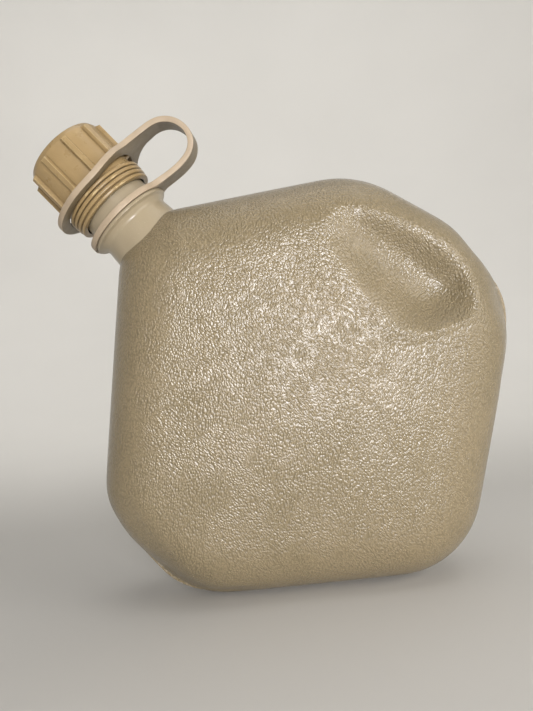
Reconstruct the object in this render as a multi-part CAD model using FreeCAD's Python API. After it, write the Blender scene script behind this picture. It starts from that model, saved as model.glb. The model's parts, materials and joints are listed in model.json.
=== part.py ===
import FreeCAD, Part
import math
import os

# Two-quart collapsible canteen: a soft blow-moulded body, a stiff neck leaving one upper corner,
# a ribbed screw cap with its gasket, and a rubber strap that keeps the cap on the neck.
# Millimetres, +Z up with the canteen standing on its flat base, +X towards the corner opposite
# the neck, front wall towards -Y. The parting plane of the body is y = 0 and the origin is the
# centre of the flat base.

# ---- body ----
BODY_DEPTH = 70.0          # front wall to back wall
WALL = 1.8                 # blow-moulded wall
EDGE_ROLL = 27.0           # roll from the broad walls round to the sides
# Corners of the side outline as (x, z, corner radius), anticlockwise from the lower right.
OUTLINE = (
    (77.0, 0.0, 45.0),
    (117.9, 147.1, 61.0),
    (40.7, 199.4, 52.0),
    (-76.0, 187.7, 35.0),
    (-99.4, 44.1, 37.0),
    (-59.7, 0.0, 38.0),
)
PANEL_INSET = 34.0         # flexing part of a broad wall, in from the side outline
PANEL_CORNER = 12.0        # least corner radius of that part
PANEL_GAP = 0.4            # cut round it

# ---- neck, measured along its axis from the corner of the body ----
NECK_FOOT = FreeCAD.Vector(-63.2, 0.0, 175.9)
NECK_LEAN = 39.0           # degrees from upright, towards -X
NECK_BORE_R = 14.5
NECK_R = 19.0              # tube under the flange
NECK_TAIL = -13.0          # end of the tube inside the body
SOCKET_R = 21.5            # sleeve of the body round that tube
SOCKET_TOP = 7.0
SOCKET_CLEARANCE = 0.05
COVE_FOOT = 10.5
COVE_MIDDLE = (19.9, 12.8)  # (radius, place on the axis) half-way up the cove to the flange
FLANGE_R = 22.0
FLANGE_TOP = 15.6
FLANGE_LIP = 1.5
COLLAR_R = 18.0            # smooth neck between flange and thread
COLLAR_TOP = 26.0
THREAD_ROOT_R = 17.0
NECK_TOP = 57.0
RIM_ROUND = 1.2

# ---- thread ----
PITCH = 4.5
THREAD_CREST_R = 18.2
NECK_THREAD_FOOT = 33.0
NECK_THREAD_TURNS = 2.75
THREAD_BASE = 2.4
THREAD_CREST = 1.0
THREAD_BITE = 0.2          # how deep a thread's base is sunk into its wall
CAP_THREAD_CREST_R = 17.45
CAP_THREAD_FOOT = NECK_THREAD_FOOT + 0.5 * PITCH
CAP_THREAD_TURNS = 1.25

# ---- cap ----
CAP_LIP = 25.0
CAP_TOP = 62.9
CAP_BORE_R = 18.7
CAP_WALL_R = 20.5          # outside, between ribs
CAP_CROWN_ROUND = 2.2
CROWN_THICK = 3.0
RIB_COUNT = 10
RIB_R = 22.0
RIB_WIDTH = 2.6
RIB_FOOT = 38.1
RIB_TOP = 60.0
RIB_SINK = 0.8             # how deep a rib's root is sunk into the cap's wall
# A rib's sloped upper end as (in from the crest, down from the top).
RIB_SLOPE = ((0.0, 1.8), (0.4, 0.8), (1.7, 0.0))
RIB_PHASE = -79.0          # degrees about the neck axis, from the loop side
LIP_R = 21.6
LIP_BAND = 1.5
# Beads of the skirt as (place on the axis, crest radius, half width).
BEADS = ((28.2, 21.9, 1.1), (30.5, 22.1, 1.1), (32.8, 22.2, 1.1))
BEAD_VALLEY_R = 20.4
SHOULDER = 34.9            # top of the beaded skirt, under the strap's ring
SHOULDER_EDGE = 0.6        # upright edge of that shoulder
GROOVE_R = 20.2
GASKET_R = 18.0
GASKET_GAP = 0.05

# ---- strap ----
STRAP_THICK = 2.8
STRAP_WIDTH = 15.0
STRAP_TURN = -15.0         # degrees about the neck axis: the loop leans to the front
NECK_RING = (18.4, 23.2, 15.7)       # inner radius, outer radius, foot on the axis
CAP_RING = (20.5, 27.0, 35.15)
NECK_TAB_R = 27.0          # reach of the ring's tab towards the loop
CAP_TAB_R = 27.0
NECK_CUT = 1.3             # cut between the neck ring's tab and the loop
CAP_CUT = 2.6              # cut between the cap ring's tab and the loop
LOOP_BEND_R = 12.2         # middle of the strap
LOOP_BEND_OUT = 38.2       # distance of the bend's centre from the neck axis
LOOP_RETURN_R = 30.0


def vec(x, y, z):
    return FreeCAD.Vector(x, y, z)


def neck_frame(shape, turn=0.0):
    """Place a shape drawn on the Z axis on the neck's axis, turned about it."""
    lean = FreeCAD.Rotation(vec(0, 1, 0), -NECK_LEAN)
    spin = FreeCAD.Rotation(vec(0, 0, 1), turn)
    placed = shape.copy()
    placed.Placement = FreeCAD.Placement(NECK_FOOT, lean.multiply(spin))
    return placed


def save(name, shape):
    """Check one piece and write it."""
    if not shape.isValid():
        raise ValueError(name + " is not a valid shape")
    for solid in shape.Solids:
        if solid.Volume <= 0:
            raise ValueError(name + " holds an inside-out solid")
    shape.exportStep(os.path.join("parts", name + ".step"))
    print(name, "solids", len(shape.Solids), "volume", round(shape.Volume, 1))


# ---- the side outline ----

def inset_corner(before, corner, after, inset):
    """Where the two sides that meet at a corner meet once both are moved in."""
    into = (corner - before).normalize()
    out = (after - corner).normalize()
    left_in = vec(-into.z, 0, into.x)
    left_out = vec(-out.z, 0, out.x)
    along = inset * (1 - left_in.dot(left_out)) / (into.dot(left_out))
    return corner + left_in * inset + into * along


def rounded_corner(before, corner, after, radius):
    """The arc that rounds a corner: its start, middle and end."""
    to_before = (before - corner).normalize()
    to_after = (after - corner).normalize()
    half = 0.5 * math.acos(max(-1.0, min(1.0, to_before.dot(to_after))))
    tangent = radius / math.tan(half)
    bisector = (to_before + to_after).normalize()
    middle = corner + bisector * (radius / math.sin(half) - radius)
    return corner + to_before * tangent, middle, corner + to_after * tangent


def outline_face(inset, y, least_radius=1.0):
    """The body's side outline moved in by an inset, as a face at one depth."""
    points = [vec(x, y, z) for x, z, radius in OUTLINE]
    count = len(points)
    corners = []
    for i in range(count):
        corners.append(inset_corner(points[i - 1], points[i], points[(i + 1) % count], inset))
    arcs = []
    for i in range(count):
        radius = max(OUTLINE[i][2] - inset, least_radius)
        arcs.append(rounded_corner(corners[i - 1], corners[i], corners[(i + 1) % count], radius))
    edges = []
    for i in range(count):
        start, middle, end = arcs[i]
        following = arcs[(i + 1) % count][0]
        edges.append(Part.Arc(start, middle, end).toShape())
        edges.append(Part.LineSegment(end, following).toShape())
    return Part.Face(Part.Wire(edges))


def pillow(inset, roll):
    """A solid with the side outline and rolled front and back edges."""
    half = BODY_DEPTH / 2 - inset
    block = outline_face(inset, -half).extrude(vec(0, 2 * half, 0))
    rims = []
    for edge in block.Edges:
        if abs(edge.BoundBox.YLength) < 0.001:
            rims.append(edge)
    return block.makeFillet(roll, rims)


def panel_prism(inset, y_start, depth):
    """A straight block with the outline of the flexing part of a broad wall."""
    return outline_face(inset, y_start, PANEL_CORNER).extrude(vec(0, depth, 0))


# ---- revolved pieces ----

def revolve(points):
    """Turn a closed profile of (radius, height) about the Z axis. A bare point is a corner; a
    pair of points is an arc through the first one that ends at the second."""
    edges = []
    here = vec(points[0][0], 0, points[0][1])
    for step in list(points[1:]) + [points[0]]:
        if isinstance(step[0], tuple):
            through = vec(step[0][0], 0, step[0][1])
            end = vec(step[1][0], 0, step[1][1])
            edges.append(Part.Arc(here, through, end).toShape())
        else:
            end = vec(step[0], 0, step[1])
            edges.append(Part.LineSegment(here, end).toShape())
        here = end
    return Part.Face(Part.Wire(edges)).revolve(vec(0, 0, 0), vec(0, 0, 1), 360)


def thread(wall_r, crest_r, foot, turns):
    """A right-hand thread of trapezoid section, its base sunk into the wall it stands on."""
    bite = THREAD_BITE if crest_r < wall_r else -THREAD_BITE
    helix = Part.makeHelix(PITCH, PITCH * turns, wall_r)
    base_r = wall_r + bite
    section = Part.makePolygon([
        vec(base_r, 0, -THREAD_BASE / 2),
        vec(crest_r, 0, -THREAD_CREST / 2),
        vec(crest_r, 0, THREAD_CREST / 2),
        vec(base_r, 0, THREAD_BASE / 2),
        vec(base_r, 0, -THREAD_BASE / 2),
    ])
    ridge = Part.Wire(helix).makePipeShell([section], True, True)
    ridge.translate(vec(0, 0, foot))
    return ridge


# ---- body ----

def make_body():
    """The soft body with its two flexing walls cut free and the sleeve that holds the neck."""
    outer = pillow(0.0, EDGE_ROLL)
    cavity = pillow(WALL, EDGE_ROLL - WALL)
    sleeve = neck_frame(Part.makeCylinder(SOCKET_R, SOCKET_TOP - NECK_TAIL, vec(0, 0, NECK_TAIL)))
    hole_r = NECK_R + SOCKET_CLEARANCE
    hole_end = NECK_TAIL - WALL
    hole = neck_frame(Part.makeCylinder(hole_r, NECK_TOP - hole_end, vec(0, 0, hole_end)))
    shell = outer.cut(cavity).fuse(outer.common(sleeve)).cut(hole)
    half = BODY_DEPTH / 2
    windows = panel_prism(PANEL_INSET - PANEL_GAP, -half - WALL, BODY_DEPTH + 2 * WALL)
    return shell.cut(windows)


def make_front_wall():
    return panel_prism(PANEL_INSET, -BODY_DEPTH / 2, WALL)


def make_back_wall():
    return panel_prism(PANEL_INSET, BODY_DEPTH / 2 - WALL, WALL)


def make_neck():
    """The stiff neck: tube, flange for the strap's ring, smooth collar, thread and mouth."""
    lip_foot = FLANGE_TOP - FLANGE_LIP
    rim_mid = RIM_ROUND * (1 - math.sqrt(0.5))
    profile = [
        (NECK_BORE_R, NECK_TAIL),
        (NECK_R, NECK_TAIL),
        (NECK_R, COVE_FOOT),
        (COVE_MIDDLE, (FLANGE_R, lip_foot)),
        (FLANGE_R, FLANGE_TOP),
        (COLLAR_R, FLANGE_TOP),
        (COLLAR_R, COLLAR_TOP),
        (THREAD_ROOT_R, COLLAR_TOP + 2 * (COLLAR_R - THREAD_ROOT_R)),
        (THREAD_ROOT_R, NECK_TOP - RIM_ROUND),
        ((THREAD_ROOT_R - rim_mid, NECK_TOP - rim_mid), (THREAD_ROOT_R - RIM_ROUND, NECK_TOP)),
        (NECK_BORE_R, NECK_TOP),
    ]
    ridge = thread(THREAD_ROOT_R, THREAD_CREST_R, NECK_THREAD_FOOT, NECK_THREAD_TURNS)
    return neck_frame(revolve(profile).fuse(ridge))


# ---- cap ----

def bead_profile():
    """The skirt below the strap's ring: a lip band, then rounded beads with valleys between."""
    points = [(LIP_R, CAP_LIP), (LIP_R, CAP_LIP + LIP_BAND)]
    for place, crest_r, half_width in BEADS:
        points.append((BEAD_VALLEY_R, place - half_width))
        points.append(((crest_r, place), (BEAD_VALLEY_R, place + half_width)))
    points.append((BEADS[-1][1], SHOULDER - SHOULDER_EDGE))
    points.append((BEADS[-1][1], SHOULDER))
    return points


def make_cap_wall():
    crown_mid = CAP_CROWN_ROUND * (1 - math.sqrt(0.5))
    top_r = CAP_WALL_R - CAP_CROWN_ROUND
    profile = [(CAP_BORE_R, CAP_LIP)] + bead_profile() + [
        (GROOVE_R, SHOULDER),
        (GROOVE_R, RIB_FOOT),
        (CAP_WALL_R, RIB_FOOT),
        (CAP_WALL_R, CAP_TOP - CAP_CROWN_ROUND),
        ((CAP_WALL_R - crown_mid, CAP_TOP - crown_mid), (top_r, CAP_TOP)),
        (0.0, CAP_TOP),
        (0.0, CAP_TOP - CROWN_THICK),
        (CAP_BORE_R, CAP_TOP - CROWN_THICK),
    ]
    return revolve(profile)


def make_rib():
    """One grip rib, drawn on the +X side and centred on y = 0."""
    sunk_r = CAP_WALL_R - RIB_SINK
    corners = [(sunk_r, RIB_FOOT), (RIB_R, RIB_FOOT)]
    for inward, down in RIB_SLOPE:
        corners.append((RIB_R - inward, RIB_TOP - down))
    corners.append((sunk_r, RIB_TOP))
    corners.append(corners[0])
    wire = Part.makePolygon([vec(r, -RIB_WIDTH / 2, t) for r, t in corners])
    return Part.Face(wire).extrude(vec(0, RIB_WIDTH, 0))


def make_cap():
    cap = make_cap_wall()
    for i in range(RIB_COUNT):
        rib = make_rib()
        rib.rotate(vec(0, 0, 0), vec(0, 0, 1), RIB_PHASE + i * 360.0 / RIB_COUNT)
        cap = cap.fuse(rib)
    ridge = thread(CAP_BORE_R, CAP_THREAD_CREST_R, CAP_THREAD_FOOT, CAP_THREAD_TURNS)
    return neck_frame(cap.fuse(ridge))


def make_gasket():
    """The soft disc between the crown and the mouth."""
    foot = NECK_TOP + GASKET_GAP
    top = CAP_TOP - CROWN_THICK - GASKET_GAP
    return neck_frame(Part.makeCylinder(GASKET_R, top - foot, vec(0, 0, foot)))


# ---- strap ----

def make_ring(ring, tab_reach):
    """A flat ring of the strap with the tab that leads to the loop."""
    inner, outer, foot = ring
    disc = Part.makeCylinder(outer, STRAP_THICK, vec(0, 0, foot))
    tab = Part.makeBox(tab_reach, STRAP_WIDTH, STRAP_THICK, vec(0, -STRAP_WIDTH / 2, foot))
    hole = Part.makeCylinder(inner, STRAP_THICK, vec(0, 0, foot))
    return neck_frame(disc.fuse(tab).cut(hole), STRAP_TURN)


def polar(centre, radius, degrees):
    """A point on a circle in the strap's plane: x away from the neck axis, z along it."""
    turn = math.radians(degrees)
    return vec(centre.x + radius * math.cos(turn), 0, centre.z + radius * math.sin(turn))


def make_loop():
    """The loop: out from the neck ring, round one bend, and back over the cap's ring."""
    half = STRAP_THICK / 2
    leg_t = NECK_RING[2] + half
    leg_start = NECK_TAB_R + NECK_CUT
    bend = vec(LOOP_BEND_OUT, 0, leg_t + LOOP_BEND_R)
    back = vec(LOOP_BEND_OUT, 0, bend.z + LOOP_BEND_R - LOOP_RETURN_R)
    leg_end = CAP_TAB_R + CAP_CUT
    sweep = math.degrees(math.asin((LOOP_BEND_OUT - leg_end) / LOOP_RETURN_R))
    outer_bend = LOOP_BEND_R + half
    inner_bend = LOOP_BEND_R - half
    outer_back = LOOP_RETURN_R + half
    inner_back = LOOP_RETURN_R - half
    a = vec(leg_start, 0, leg_t - half)
    b = polar(bend, outer_bend, -90)
    c = polar(bend, outer_bend, 90)
    d = polar(back, outer_back, 90 + sweep)
    e = polar(back, inner_back, 90 + sweep)
    f = polar(bend, inner_bend, 90)
    g = polar(bend, inner_bend, -90)
    h = vec(leg_start, 0, leg_t + half)
    edges = [
        Part.LineSegment(a, b).toShape(),
        Part.Arc(b, polar(bend, outer_bend, 0), c).toShape(),
        Part.Arc(c, polar(back, outer_back, 90 + sweep / 2), d).toShape(),
        Part.LineSegment(d, e).toShape(),
        Part.Arc(e, polar(back, inner_back, 90 + sweep / 2), f).toShape(),
        Part.Arc(f, polar(bend, inner_bend, 0), g).toShape(),
        Part.LineSegment(g, h).toShape(),
        Part.LineSegment(h, a).toShape(),
    ]
    band = Part.Face(Part.Wire(edges)).extrude(vec(0, STRAP_WIDTH, 0))
    band.translate(vec(0, -STRAP_WIDTH / 2, 0))
    return neck_frame(band, STRAP_TURN)


os.makedirs("parts", exist_ok=True)
save("body_shell", make_body())
save("front_wall", make_front_wall())
save("back_wall", make_back_wall())
save("neck_spout", make_neck())
save("cap_shell", make_cap())
save("cap_gasket", make_gasket())
save("strap_neck_ring", make_ring(NECK_RING, NECK_TAB_R))
save("strap_loop", make_loop())
save("strap_cap_ring", make_ring(CAP_RING, CAP_TAB_R))
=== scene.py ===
import json
import math

import bmesh
import bpy
import numpy as np
from mathutils import Matrix, Vector, geometry, noise


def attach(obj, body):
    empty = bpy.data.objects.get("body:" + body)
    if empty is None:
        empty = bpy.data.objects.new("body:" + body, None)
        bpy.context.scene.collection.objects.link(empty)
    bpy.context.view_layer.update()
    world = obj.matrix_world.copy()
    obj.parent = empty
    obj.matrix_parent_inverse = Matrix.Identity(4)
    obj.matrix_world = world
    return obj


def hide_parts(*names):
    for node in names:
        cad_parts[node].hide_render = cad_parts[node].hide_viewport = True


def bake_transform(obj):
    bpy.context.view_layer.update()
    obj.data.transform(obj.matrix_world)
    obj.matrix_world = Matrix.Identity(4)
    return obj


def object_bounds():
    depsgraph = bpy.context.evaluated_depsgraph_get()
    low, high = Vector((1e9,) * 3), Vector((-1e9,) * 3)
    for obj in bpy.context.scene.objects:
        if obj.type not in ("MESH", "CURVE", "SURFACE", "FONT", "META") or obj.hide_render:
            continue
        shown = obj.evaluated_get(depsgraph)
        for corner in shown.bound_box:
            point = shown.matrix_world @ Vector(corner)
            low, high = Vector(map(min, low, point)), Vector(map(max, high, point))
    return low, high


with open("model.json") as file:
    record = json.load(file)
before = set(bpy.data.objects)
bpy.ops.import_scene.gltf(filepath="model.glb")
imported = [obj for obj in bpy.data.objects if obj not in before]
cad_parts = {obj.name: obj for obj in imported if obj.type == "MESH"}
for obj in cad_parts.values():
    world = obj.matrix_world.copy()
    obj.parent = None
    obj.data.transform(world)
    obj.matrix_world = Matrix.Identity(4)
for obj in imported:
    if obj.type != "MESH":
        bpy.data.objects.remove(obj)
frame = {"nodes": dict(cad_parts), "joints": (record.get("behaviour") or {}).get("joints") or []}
CAD_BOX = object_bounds()

# A two-quart canteen: soft grained body, smooth neck, ribbed cap with its gasket, and strap.
# Shapes are drawn in millimetres in the CAD's frame and scaled once, in make_piece.
MM = 0.001
FLOOR_GAP = 0.4            # the studio floor lies this far below the CAD, clear of the parting fin


# ---- what the frame says

def node_points(name):
    """Corners of a CAD node, in millimetres."""
    mesh = frame["nodes"][name].data
    flat = np.zeros(len(mesh.vertices) * 3)
    mesh.vertices.foreach_get("co", flat)
    return flat.reshape(-1, 3) / MM


CAP_TURN = next(joint for joint in frame["joints"] if joint["name"] == "cap_turn")
NECK_FOOT = np.array(CAP_TURN["pos_m"]) / MM
NECK_DIR = np.array(CAP_TURN["axis"])
NECK_SIDE = np.cross((0.0, 1.0, 0.0), NECK_DIR)      # in the parting plane, over the body's top


def neck_span(name):
    """Lowest and highest place of a CAD node along the neck's axis."""
    along = (node_points(name) - NECK_FOOT) @ NECK_DIR
    return along.min(), along.max()


def outer_radius(name):
    """Greatest distance of a CAD node's corners from the neck's axis."""
    away = node_points(name) - NECK_FOOT
    away = away - np.outer(away @ NECK_DIR, NECK_DIR)
    return np.linalg.norm(away, axis=1).max()


def loop_heading():
    """The strap loop's direction from the neck's axis, in degrees from NECK_SIDE towards +Y."""
    away = node_points("strap_loop").mean(axis=0) - NECK_FOOT
    return math.degrees(math.atan2(away[1], away @ NECK_SIDE))


def on_neck(points, turn=0.0):
    """Points drawn about the Z axis, set on the neck's axis after a turn in degrees."""
    points = np.asarray(points, float)
    angle = math.radians(turn)
    x = points[:, 0] * math.cos(angle) - points[:, 1] * math.sin(angle)
    y = points[:, 0] * math.sin(angle) + points[:, 1] * math.cos(angle)
    placed = NECK_FOOT + np.outer(x, NECK_SIDE) + np.outer(y, (0.0, 1.0, 0.0))
    return placed + np.outer(points[:, 2], NECK_DIR)


# ---- small helpers

def smoothstep(low, high, value):
    t = np.clip((np.asarray(value, float) - low) / (high - low), 0.0, 1.0)
    return t * t * (3 - 2 * t)


def bump(value, middle, width):
    """A bell of height 1."""
    return np.exp(-((np.asarray(value, float) - middle) / width) ** 2)


def noise_field(points, scale, shift):
    """Smooth noise from -1 to 1 at each point, with features of about scale millimetres."""
    values = [noise.noise(Vector(tuple(p / scale + shift))) for p in np.asarray(points, float)]
    return np.array(values)


def shown(name, data):
    """A new object in the scene."""
    obj = bpy.data.objects.new(name, data)
    bpy.context.scene.collection.objects.link(obj)
    return obj


def make_piece(name, points, faces, material):
    """A shown mesh from points in millimetres."""
    mesh = bpy.data.meshes.new(name)
    mesh.from_pydata([tuple(p) for p in np.asarray(points) * MM], [], faces)
    mesh.validate()
    mesh.polygons.foreach_set("use_smooth", [True] * len(mesh.polygons))
    mesh.materials.append(material)
    mesh.update()
    obj = shown(name, mesh)
    return obj


def face_outward(obj):
    """Make a closed mesh's faces look outward."""
    shape = bmesh.new()
    shape.from_mesh(obj.data)
    bmesh.ops.recalc_face_normals(shape, faces=shape.faces)
    shape.to_mesh(obj.data)
    shape.free()


def set_points(obj, points):
    """Move a mesh's vertices to points in millimetres."""
    obj.data.vertices.foreach_set("co", (np.asarray(points) * MM).ravel())
    obj.data.update()


def mark_sharp(obj, degrees):
    """Keep edges sharper than an angle crisp, and shade the rest smooth."""
    obj.data.set_sharp_from_angle(angle=math.radians(degrees))


def lathe_faces(rows, columns, closed_profile=True):
    """Quads of a surface turned about an axis: rows along the profile, columns round."""
    faces = []
    last = rows if closed_profile else rows - 1
    for i in range(last):
        for j in range(columns):
            a = i * columns + j
            b = i * columns + (j + 1) % columns
            c = ((i + 1) % rows) * columns + (j + 1) % columns
            d = ((i + 1) % rows) * columns + j
            faces.append((a, b, c, d))
    return faces


ARC_STEP = 15.0            # degrees between the points of a rounded corner
STRAIGHT = 1.56            # a corner whose half angle (radians) is above this needs no rounding
SIDE_SHARE = 0.49          # the part of a side that a corner's rounding may take


def round_profile(corners):
    """A profile of (radius, height, rounding) corners as points, each corner rounded by an arc."""
    points = []
    count = len(corners)
    for i in range(count):
        here = np.array(corners[i][:2], float)
        rounding = corners[i][2]
        if rounding <= 0:
            points.append(tuple(here))
            continue
        before = np.array(corners[i - 1][:2], float) - here
        after = np.array(corners[(i + 1) % count][:2], float) - here
        before_length = np.linalg.norm(before)
        after_length = np.linalg.norm(after)
        before /= before_length
        after /= after_length
        half = 0.5 * math.acos(max(-1.0, min(1.0, float(before @ after))))
        if half > STRAIGHT:
            points.append(tuple(here))
            continue
        reach = min(rounding / math.tan(half), SIDE_SHARE * before_length, SIDE_SHARE * after_length)
        radius = reach * math.tan(half)
        centre = here + (before + after) / np.linalg.norm(before + after) * radius / math.sin(half)
        start = here + before * reach - centre
        end = here + after * reach - centre
        sweep = math.pi - 2 * half
        steps = max(2, int(math.ceil(math.degrees(sweep) / ARC_STEP)))
        for k in range(steps + 1):
            u = k / steps
            a = math.sin((1 - u) * sweep) / math.sin(sweep)
            b = math.sin(u * sweep) / math.sin(sweep)
            points.append(tuple(centre + start * a + end * b))
    return points


def split_long(points, step):
    """A closed profile with extra points wherever two neighbours are further apart than step."""
    finer = []
    for i in range(len(points)):
        a = np.array(points[i])
        b = np.array(points[(i + 1) % len(points)])
        parts = max(1, int(math.ceil(np.linalg.norm(b - a) / step)))
        for k in range(parts):
            finer.append(tuple(a + (b - a) * k / parts))
    return finer


# ---- materials

class Nodes:
    """A short way to write a material's node tree."""

    def __init__(self, name):
        self.material = bpy.data.materials.new(name)
        self.material.use_nodes = True
        self.tree = self.material.node_tree
        self.shader = self.tree.nodes["Principled BSDF"]
        coords = self.tree.nodes.new("ShaderNodeTexCoord")
        self.place = coords.outputs["Object"]

    def node(self, kind, inputs=None, **settings):
        made = self.tree.nodes.new(kind)
        for key, value in settings.items():
            setattr(made, key, value)
        for key, value in (inputs or {}).items():
            self.feed(made.inputs[key], value)
        return made

    def feed(self, socket, value):
        if isinstance(value, bpy.types.NodeSocket):
            self.tree.links.new(value, socket)
        else:
            socket.default_value = value

    def stretched(self, turn=(0.0, 0.0, 0.0), scale=(1.0, 1.0, 1.0), source=None):
        mapping = self.node("ShaderNodeMapping", {
            "Vector": source or self.place, "Rotation": turn, "Scale": scale,
        })
        return mapping.outputs["Vector"]

    def noise(self, scale, detail=2.0, roughness=0.5, source=None):
        made = self.node("ShaderNodeTexNoise", {
            "Vector": source or self.place, "Scale": scale, "Detail": detail, "Roughness": roughness,
        })
        return made.outputs["Fac"]

    def cells(self, scale, smooth, source):
        """Distance from the middle of the nearest rounded cell."""
        inputs = {"Vector": source, "Scale": scale, "Smoothness": smooth}
        return self.node("ShaderNodeTexVoronoi", inputs, feature="SMOOTH_F1").outputs["Distance"]

    def math(self, operation, a, b):
        return self.node("ShaderNodeMath", {0: a, 1: b}, operation=operation).outputs[0]

    def span(self, value, low, high, to_low, to_high):
        made = self.node("ShaderNodeMapRange", {
            "Value": value, "From Min": low, "From Max": high, "To Min": to_low, "To Max": to_high,
        })
        return made.outputs["Result"]

    def blend(self, factor, a, b):
        """a where factor is 0 and b where it is 1, for plain values."""
        return self.math("ADD", a, self.math("MULTIPLY", factor, self.math("SUBTRACT", b, a)))

    def mix(self, factor, a, b):
        return self.node("ShaderNodeMixRGB", {"Fac": factor, "Color1": a, "Color2": b}).outputs["Color"]

    def tones(self, pattern, low, high, one, other):
        """One colour below low and the other above high."""
        return self.mix(self.span(pattern, low, high, 0.0, 1.0), one, other)

    def bump(self, height, strength, distance, normal=None):
        inputs = {"Height": height, "Strength": strength, "Distance": distance}
        if normal is not None:
            inputs["Normal"] = normal
        return self.node("ShaderNodeBump", inputs).outputs["Normal"]

    def pointiness(self, low, high):
        """0 where the surface is hollow and 1 along its outer edges."""
        geometry_node = self.node("ShaderNodeNewGeometry")
        return self.span(geometry_node.outputs["Pointiness"], low, high, 0.0, 1.0)

    def painted_crevice_shade(self, colour, reach, dark, amount):
        """The colour with painted shade, darker in corners and gaps within a reach in metres."""
        shelter = self.node("ShaderNodeAmbientOcclusion", {"Distance": reach}, samples=8)
        open_air = self.span(shelter.outputs["AO"], 0.25, 0.85, amount, 0.0)
        return self.mix(open_air, colour, dark)

    def finish(self, colour, roughness, normal, specular, coat=0.0, coat_roughness=0.1,
               coat_normal=None):
        values = {
            "Base Color": colour, "Roughness": roughness, "Normal": normal, "Specular IOR Level": specular,
            "Coat Weight": coat, "Coat Roughness": coat_roughness, "Coat Normal": coat_normal or normal,
        }
        for name, value in values.items():
            self.feed(self.shader.inputs[name], value)
        return self.material


def rgb(red, green, blue):
    """A colour from screen values of 0 to 255."""
    def linear(value):
        value /= 255.0
        return value / 12.92 if value <= 0.04045 else ((value + 0.055) / 1.055) ** 2.4
    return (linear(red), linear(green), linear(blue), 1.0)


GRAIN_LEANS = (-16.0, 34.0)          # degrees from upright, the two ways the ridges lean
GRAIN_SCALE = 1220.0                 # ridges per metre across them
GRAIN_STRETCH = (1.0, 0.88, 0.66)    # the ridges are longest along Z
GRAIN_WANDER = 0.0022                # metres, how far the ridges stray from their rows
GRAIN_HEIGHT = 0.00048               # metres, as the plastic shows it
GLOSS_HEIGHT = 0.00024               # metres, as the gloss on top of it shows it


def grain_height(m):
    """Height of the moulded grain: short rounded ridges, like grains of rice, that lean one way in
    some places and the other way in others."""
    drift = m.node("ShaderNodeTexNoise", {"Vector": m.place, "Scale": 110.0, "Detail": 1.0})
    centred = m.node("ShaderNodeVectorMath", {0: drift.outputs["Color"], 1: (0.5, 0.5, 0.5)},
                     operation="SUBTRACT")
    pushed = m.node("ShaderNodeVectorMath", {0: centred.outputs[0], "Scale": GRAIN_WANDER},
                    operation="SCALE")
    warped = m.node("ShaderNodeVectorMath", {0: m.place, 1: pushed.outputs[0]}, operation="ADD")
    heights = []
    for lean in GRAIN_LEANS:
        leaning = m.stretched(turn=(0.0, math.radians(lean), 0.0), source=warped.outputs[0])
        long_place = m.stretched(scale=GRAIN_STRETCH, source=leaning)
        pebble = m.cells(GRAIN_SCALE, 0.3, long_place)
        ripple = m.noise(GRAIN_SCALE * 1.1, 1.0, 0.4, long_place)
        raised = m.math("MULTIPLY", pebble, -1.0)
        heights.append(m.math("ADD", raised, m.math("MULTIPLY", ripple, 0.35)))
    where = m.span(m.noise(48.0, 1.0), 0.46, 0.54, 0.0, 1.0)
    return m.blend(where, heights[0], heights[1])


def body_material():
    """Soft olive plastic with a leather-like grain, glossy on the ridges, and painted shade darkening the
    hollows between them.
    """
    m = Nodes("olive_grained_plastic")
    height = grain_height(m)
    grain = m.bump(height, 1.0, GRAIN_HEIGHT)
    gloss_grain = m.bump(height, 1.0, GLOSS_HEIGHT)
    normal = m.bump(m.noise(3000.0, 1.0), 0.10, 0.0002, grain)
    soil = m.noise(24.0, 4.0, 0.55)
    colour = m.tones(soil, 0.35, 0.68, rgb(138, 124, 95), rgb(147, 132, 103))
    # Painted shade: the grain's hollows are darkened towards a deeper olive.
    valley_shade = m.span(height, -0.52, -0.12, 0.4, 0.0)
    colour = m.mix(valley_shade, colour, rgb(100, 88, 64))
    rough = m.span(m.noise(60.0, 3.0), 0.3, 0.7, 0.30, 0.38)
    return m.finish(colour, rough, normal, 0.35, 0.65, 0.16, gloss_grain)


FLOW_LEAN = 37.5           # degrees from upright, about along the neck


def neck_material():
    """Smooth stiff plastic, a shade greyer than the body, with faint flow marks and scuffs, and painted
    shade in its corners and gaps.
    """
    m = Nodes("neck_smooth_plastic")
    along_neck = m.stretched((0.0, math.radians(FLOW_LEAN), 0.0), (1.0, 1.0, 0.3))
    flow = m.noise(45.0, 3.0, 0.55, along_neck)
    colour = m.tones(flow, 0.3, 0.7, rgb(152, 138, 112), rgb(166, 152, 126))
    specks = m.span(m.noise(900.0, 2.0, 0.6), 0.68, 0.74, 0.0, 0.35)
    colour = m.mix(specks, colour, rgb(186, 176, 150))
    # Painted shade in the neck's corners and gaps.
    colour = m.painted_crevice_shade(colour, 0.003, rgb(80, 72, 52), 0.6)
    rough = m.span(m.noise(130.0, 4.0, 0.6), 0.35, 0.7, 0.28, 0.42)
    ripple = m.bump(m.noise(160.0, 2.0), 0.12, 0.0006)
    normal = m.bump(m.noise(2400.0, 2.0), 0.08, 0.0001, ripple)
    return m.finish(colour, rough, normal, 0.5, 0.15, 0.2)


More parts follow.
